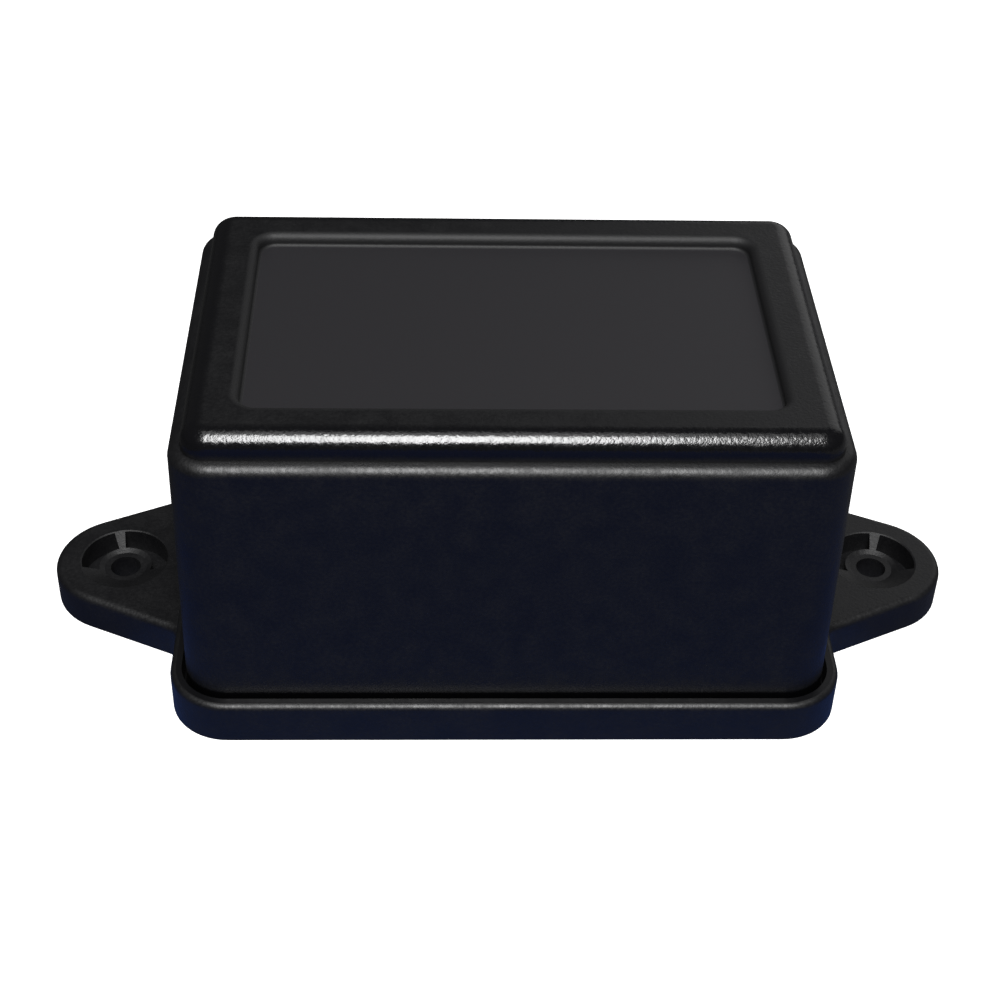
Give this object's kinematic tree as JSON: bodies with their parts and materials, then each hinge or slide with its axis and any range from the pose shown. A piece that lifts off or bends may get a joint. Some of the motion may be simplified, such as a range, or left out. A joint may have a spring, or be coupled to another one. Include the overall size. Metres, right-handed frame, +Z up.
{
  "type": "plastic project box",
  "caption": "Black moulded enclosure for small electronics: a deep drafted cover with a stepped top and label recess, screwed from below to a flat base with a mounting ear at each end.",
  "frame": {"origin": "centre of the underside of the base, on the face that meets the wall or bench", "axes": "+X along the box towards one ear, +Y towards the back, +Z up from the base to the top of the cover"},
  "size_m": [0.1232, 0.0596, 0.0456],
  "materials": {
    "black_abs": "black ABS, fine spark-eroded grain with a satin sheen, smoother in the label recess",
    "zinc_screw": "bright zinc plated steel"
  },
  "bodies": {
    "root": {"cover": "black_abs", "base": "black_abs", "cover_screws": "zinc_screw"}
  },
  "joints": []
}
